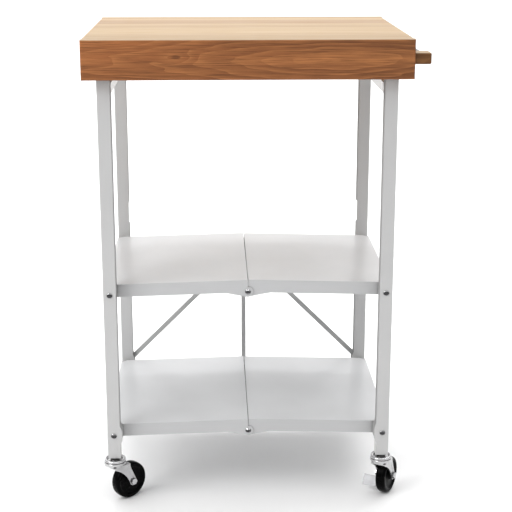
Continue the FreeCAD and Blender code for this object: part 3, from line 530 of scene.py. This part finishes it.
# ---------------------------------------------------------------- casters
def caster_axes(word):
    """The swivel's place, the wheel's centre and the axle's direction, from the joints."""
    stem = Vector(JOINTS[f"{word}_swivel"]["pos_m"])
    roll = JOINTS[f"{word}_roll"]
    return stem, Vector(roll["pos_m"]), Vector(roll["axis"])


TREAD = 37.5 * MM                 # the wheel's radius
WHEEL_HALF = 10.0 * MM            # half widths of the wheel and of its hub
HUB_HALF = 12.6 * MM
BORE = 4.06 * MM
CROWN_START = 33.4 * MM           # radius where the flat side ends and the crown begins
CROWN_OUT, CROWN_IN = 4.0 * MM, 6.0 * MM    # the crown's growth in radius and loss in half width
CROWN_STEPS = 8
LINE_TALL = 0.1 * MM              # the parting line's height, and its half width at foot and top
LINE_FOOT, LINE_TOP = 0.5 * MM, 0.25 * MM
# the side of the wheel as (radius, half width): hub, sunk disc, rim
HUB_SIDE = [(BORE, HUB_HALF), (8.4 * MM, HUB_HALF), (9.2 * MM, HUB_HALF - 0.7 * MM)]
DISC_SIDE = [(10.4 * MM, 8.2 * MM), (12.0 * MM, 7.5 * MM),
             (25.5 * MM, 7.5 * MM), (27.4 * MM, 8.1 * MM)]
RIM_SIDE = [(29.2 * MM, 9.6 * MM), (30.6 * MM, WHEEL_HALF), (CROWN_START, WHEEL_HALF)]


def wheel(word):
    """A moulded wheel: crowned tread with a parting line, stepped side discs and a hub."""
    _, centre, axis = caster_axes(word)
    crown = []
    for step in range(1, CROWN_STEPS + 1):
        turn = math.pi / 2 * step / CROWN_STEPS
        crown.append((CROWN_START + CROWN_OUT * math.sin(turn),
                      WHEEL_HALF - CROWN_IN * (1 - math.cos(turn))))
    line = [(TREAD - LINE_TALL, LINE_FOOT), (TREAD, LINE_TOP)]
    half = HUB_SIDE + DISC_SIDE + RIM_SIDE + crown + line
    loop = half + [(radius, -height) for radius, height in reversed(half)]
    shape = lathe(bmesh.new(), loop + loop[:1], axis, centre, WHEEL_STEPS)
    finish_piece(f"{word}_wheel_turned", as_mesh(shape, word + "_wheel", 50), f"{word}_wheel")


ROLL = 2.4 * MM                   # rolled rim of the cup: half its width and half its height
ROLL_HEIGHT = 2.75 * MM
ROLL_STEPS = 8
CUP_FOOT = 3.0 * MM               # how far in from the rim the flat underside ends
DISH_DEEP, DISH_WIDE = 3.1 * MM, 5.0 * MM    # the dish's curved wall inside the rim
DISH_STEPS = 6
DISH_FLOOR = 2.4 * MM             # heights of the dish's floor and of the boss above the underside
BOSS_TALL = 9.3 * MM
BOSS_RAD, STEM_RAD, TIP_RAD = 9.0 * MM, 5.0 * MM, 4.0 * MM
TIP_TALL = 1.0 * MM               # the chamfer at the stem's top


def stem_cup(word):
    """The fixed upper race: a dished cup with a rolled rim, a boss in it, and the stem."""
    node = f"{word}_stem"
    low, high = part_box(node)
    stem = caster_axes(word)[0]
    rim = high.x - stem.x
    base = low.z
    profile = [(0.0, base), (rim - CUP_FOOT, base)]
    for step in range(ROLL_STEPS + 1):
        turn = math.pi * (step / ROLL_STEPS - 0.5)
        profile.append((rim - ROLL + ROLL * math.cos(turn),
                        base + ROLL_HEIGHT * (1 + math.sin(turn))))
    for step in range(1, DISH_STEPS + 1):
        turn = math.pi / 2 * step / DISH_STEPS
        dip = DISH_DEEP * (1 - math.cos(turn))
        profile.append((rim - ROLL - DISH_WIDE * math.sin(turn), base + 2 * ROLL_HEIGHT - dip))
    profile += [(BOSS_RAD, base + DISH_FLOOR), (BOSS_RAD, base + BOSS_TALL),
                (STEM_RAD, base + BOSS_TALL), (STEM_RAD, high.z - TIP_TALL),
                (TIP_RAD, high.z), (0.0, high.z)]
    shape = lathe(bmesh.new(), profile, Vector((0, 0, 1)), Vector((stem.x, stem.y, 0)), CUP_STEPS)
    finish_piece(f"{node}_turned", as_mesh(shape, node, 55), node)


ARM_FACE = 15.45 * MM             # where a rib starts, a hair inside the arm's outer face
RIB_TALL = 1.1 * MM
RIB_WIDE = 3.4 * MM               # half width, times 1.5 at the top and 0.8 at the foot
RIB_TOP_WIDE, RIB_NARROWING = 1.5, 0.7
RIB_TOP, RIB_FOOT = 36.0 * MM, 10.0 * MM    # heights of its ends above the axle
RIB_BACK = 12.0 * MM              # how far its top end lies from the axle towards the stem
RIB_SECTIONS, RIB_STEPS = 18, 8


def arm_ribs(word):
    """A pressed rib down the outside of each fork arm, from the crown to above the axle."""
    stem, centre, axis = caster_axes(word)
    forward = Vector((centre.x - stem.x, centre.y - stem.y, 0)).normalized()
    for number, sign in enumerate((-1, 1)):
        shape = bmesh.new()
        rows = []
        for step in range(RIB_SECTIONS + 1):
            share = step / RIB_SECTIONS
            height = RIB_TOP * (1 - share) + RIB_FOOT * share
            spine = centre - forward * (RIB_BACK * (1 - share)) + Vector((0, 0, height))
            swell = math.sin(math.pi * share) ** 0.5 if 0 < share < 1 else 0.0
            wide = RIB_WIDE * (RIB_TOP_WIDE - RIB_NARROWING * share)
            row = []
            for across in range(RIB_STEPS + 1):
                turn = math.pi * across / RIB_STEPS
                out = ARM_FACE + RIB_TALL * swell * math.sin(turn)
                place = spine + forward * wide * math.cos(turn) + axis * sign * out
                row.append(shape.verts.new(place))
            rows.append(row)
        for first, second in zip(rows, rows[1:]):
            for across in range(RIB_STEPS):
                shape.faces.new((first[across], first[across + 1],
                                 second[across + 1], second[across]))
            shape.faces.new((first[-1], first[0], second[0], second[-1]))
        shape.faces.new(rows[0])
        shape.faces.new(list(reversed(rows[-1])))
        finish_piece(f"{word}_fork_rib_{number}", as_mesh(shape, "rib"), f"{word}_fork",
                     replace=False)


for word in CASTERS:
    softened(f"{word}_fork", 0.7 * MM, 3)
    softened(f"{word}_axle", 0.4 * MM)
    wheel(word)
    stem_cup(word)
    arm_ribs(word)


# ---------------------------------------------------------------- stage, light and camera
BEND_STEPS = 24


def stage_mesh():
    """A floor that curves up into a backdrop."""
    shape = bmesh.new()
    # half its width, its front edge, where the bend starts, the bend's radius, the top edge
    width, front, back, bend, tall = 7.0, -5.0, 3.2, 1.6, 6.0
    line = [(front, 0.0), (back, 0.0)]
    for step in range(1, BEND_STEPS + 1):
        turn = math.pi / 2 * step / BEND_STEPS
        line.append((back + bend * math.sin(turn), bend * (1 - math.cos(turn))))
    line.append((back + bend, tall))
    rows = [[shape.verts.new((x, y, z)) for x in (-width, width)] for y, z in line]
    for first, second in zip(rows, rows[1:]):
        shape.faces.new((first[0], first[1], second[1], second[0]))
    return as_mesh(shape, "sweep")


sweep = bpy.data.objects.new("studio_sweep", stage_mesh())
bpy.context.scene.collection.objects.link(sweep)
cloth = Shader("sweep_paper")
mottle = cloth.noise(cloth.place, scale=3.0, detail=2.0)
cloth.set(base_color=cloth.mix(mottle, (0.93, 0.93, 0.93), (0.95, 0.95, 0.95)), roughness=0.85)
sweep.data.materials.append(cloth.material)


LIGHTS = (
    # name, place, target, width and height in metres, watts
    ("key_box", (-2.6, -2.0, 2.6), (0, 0, 0.5), (2.0, 2.2), 64),
    ("side_box", (2.6, -1.6, 1.8), (0, 0, 0.4), (1.4, 2.2), 5),
    ("over_box", (0.2, 0.6, 3.4), (0, 0, 0.0), (3.2, 3.0), 66),
    ("back_wash", (0.0, 1.4, 3.6), (0, 4.6, 1.2), (5.0, 1.2), 150),
)


def area_light(name, place, target, wide, watts):
    lamp = bpy.data.lights.new(name, "AREA")
    lamp.shape = "RECTANGLE"
    lamp.size, lamp.size_y = wide
    lamp.energy = watts
    holder = bpy.data.objects.new(name, lamp)
    bpy.context.scene.collection.objects.link(holder)
    holder.location = place
    holder.rotation_euler = (Vector(target) - Vector(place)).to_track_quat("-Z", "Y").to_euler()


for light in LIGHTS:
    area_light(*light)

DIM_AIR, BRIGHT_AIR = 0.16, 0.85
AIR_RISE = (0.05, 0.75)           # Z of the view between which the air brightens


def studio_air():
    """Soft white air overhead that falls to a dim room at eye level."""
    world = bpy.data.worlds.new("studio_air")
    bpy.context.scene.world = world
    world.use_nodes = True
    tree = world.node_tree
    direction = tree.nodes.new("ShaderNodeTexCoord").outputs["Generated"]
    parts = tree.nodes.new("ShaderNodeSeparateXYZ")
    tree.links.new(direction, parts.inputs[0])
    fade = tree.nodes.new("ShaderNodeMapRange")
    tree.links.new(parts.outputs[2], fade.inputs[0])
    for socket, number in zip(fade.inputs[1:5], (*AIR_RISE, DIM_AIR, BRIGHT_AIR)):
        socket.default_value = number
    tree.links.new(fade.outputs[0], tree.nodes["Background"].inputs["Strength"])
    tree.nodes["Background"].inputs["Color"].default_value = (1.0, 1.0, 1.0, 1.0)


studio_air()

# the camera fitted to the photograph's edges
CAMERA_PLACE = (-0.0775, -2.5773, 1.1577)
CAMERA_TILT, CAMERA_TURN = 74.72, -1.874    # degrees up from straight down, and round Z
LENS, SENSOR = 89.54, 36.0        # millimetres

lens = bpy.data.cameras.new("view")
lens.lens = LENS
lens.sensor_width = SENSOR
camera = bpy.data.objects.new("view", lens)
bpy.context.scene.collection.objects.link(camera)
camera.location = CAMERA_PLACE
camera.rotation_euler = (math.radians(CAMERA_TILT), 0.0, math.radians(CAMERA_TURN))
bpy.context.scene.camera = camera
bpy.context.scene.view_settings.view_transform = "Standard"
